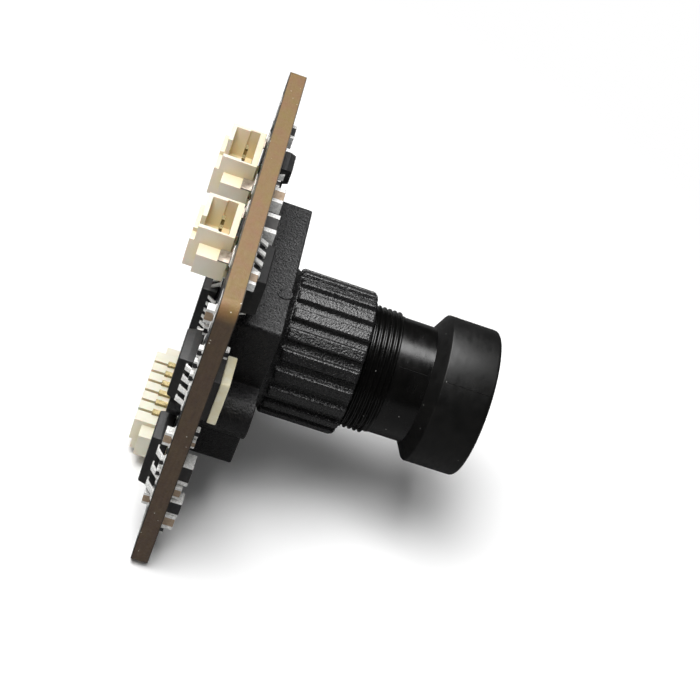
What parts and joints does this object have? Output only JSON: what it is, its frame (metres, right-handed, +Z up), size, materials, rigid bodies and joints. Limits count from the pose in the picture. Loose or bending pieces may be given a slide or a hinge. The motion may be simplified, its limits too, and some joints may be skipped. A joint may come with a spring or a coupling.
{
  "type": "camera module",
  "caption": "Square board-level camera module with a ribbed lens holder, a threaded focusing lens with a flared hood, and cable connectors on the back.",
  "frame": {"origin": "centre of the circuit board's back face, in the middle of its four corner holes", "axes": "+Z up, the lens looks along -Y, X along the board's top edge"},
  "size_m": [0.0342, 0.0299, 0.0342],
  "materials": {
    "solder_mask": "black solder mask over glass-fibre board, satin",
    "moulded_black": "fine moulded texture, matte black",
    "black_anodised": "black anodised, turned, satin",
    "screw_steel": "plain steel with fine wear",
    "sensor_package": "dark ceramic tray",
    "cover_glass": "clear plate",
    "filter_glass": "pale green filter plate",
    "lens_glass": "coated lens glass",
    "connector_ivory": "ivory moulded plastic, satin",
    "connector_cream": "cream moulded plastic, satin",
    "contact_gold": "gold-plated contact, bright",
    "tinned_metal": "tinned lead, soft sheen",
    "package_black": "moulded package, fine grain",
    "crystal_dark": "dark brown fired tray",
    "crystal_yellow": "pale yellow pressed metal cap, satin",
    "resistor_dark": "dark glazed top",
    "capacitor_tan": "tan brown fired body",
    "ferrite_dark": "dark fired body"
  },
  "bodies": {
    "board": {"circuit_board": "solder_mask", "lens_holder": "moulded_black", "holder_screws": "screw_steel", "image_sensor": "sensor_package", "sensor_cover_glass": "cover_glass", "infrared_filter": "filter_glass", "right_connector_housing": "connector_ivory", "right_connector_pins": "contact_gold", "right_connector_tabs": "tinned_metal", "left_connector_housing": "connector_ivory", "left_connector_pins": "contact_gold", "left_connector_tabs": "tinned_metal", "cable_connector_housing": "connector_cream", "cable_connector_pins": "contact_gold", "cable_connector_tabs": "tinned_metal", "processor": "package_black", "processor_leads": "tinned_metal", "driver_chip": "package_black", "driver_chip_leads": "tinned_metal", "memory_chip": "package_black", "memory_chip_leads": "tinned_metal", "voltage_regulator": "package_black", "voltage_regulator_leads": "tinned_metal", "crystal_base": "crystal_dark", "crystal_lid": "crystal_yellow", "power_inductor": "ferrite_dark", "power_inductor_terminals": "tinned_metal", "ferrite_bead": "ferrite_dark", "ferrite_bead_terminals": "tinned_metal", "protection_diode": "package_black", "protection_diode_leads": "tinned_metal", "transistor": "package_black", "transistor_leads": "tinned_metal", "back_resistors": "resistor_dark", "back_resistor_ends": "tinned_metal", "back_capacitors": "capacitor_tan", "back_capacitor_ends": "tinned_metal", "front_resistors": "resistor_dark", "front_resistor_ends": "tinned_metal", "front_capacitors": "capacitor_tan", "front_capacitor_ends": "tinned_metal"},
    "lens": {"lens_barrel": "black_anodised", "rear_lens": "lens_glass", "rear_spacer": "black_anodised", "middle_lens": "lens_glass", "front_spacer": "black_anodised", "front_lens": "lens_glass", "front_retaining_ring": "black_anodised"}
  },
  "joints": [
    {"name": "focus_turn", "type": "hinge", "parent": "board", "child": "lens", "pos_m": [0, 0, -0.0004], "axis": [0, -1, 0], "range_deg": [-180, 180]}
  ]
}
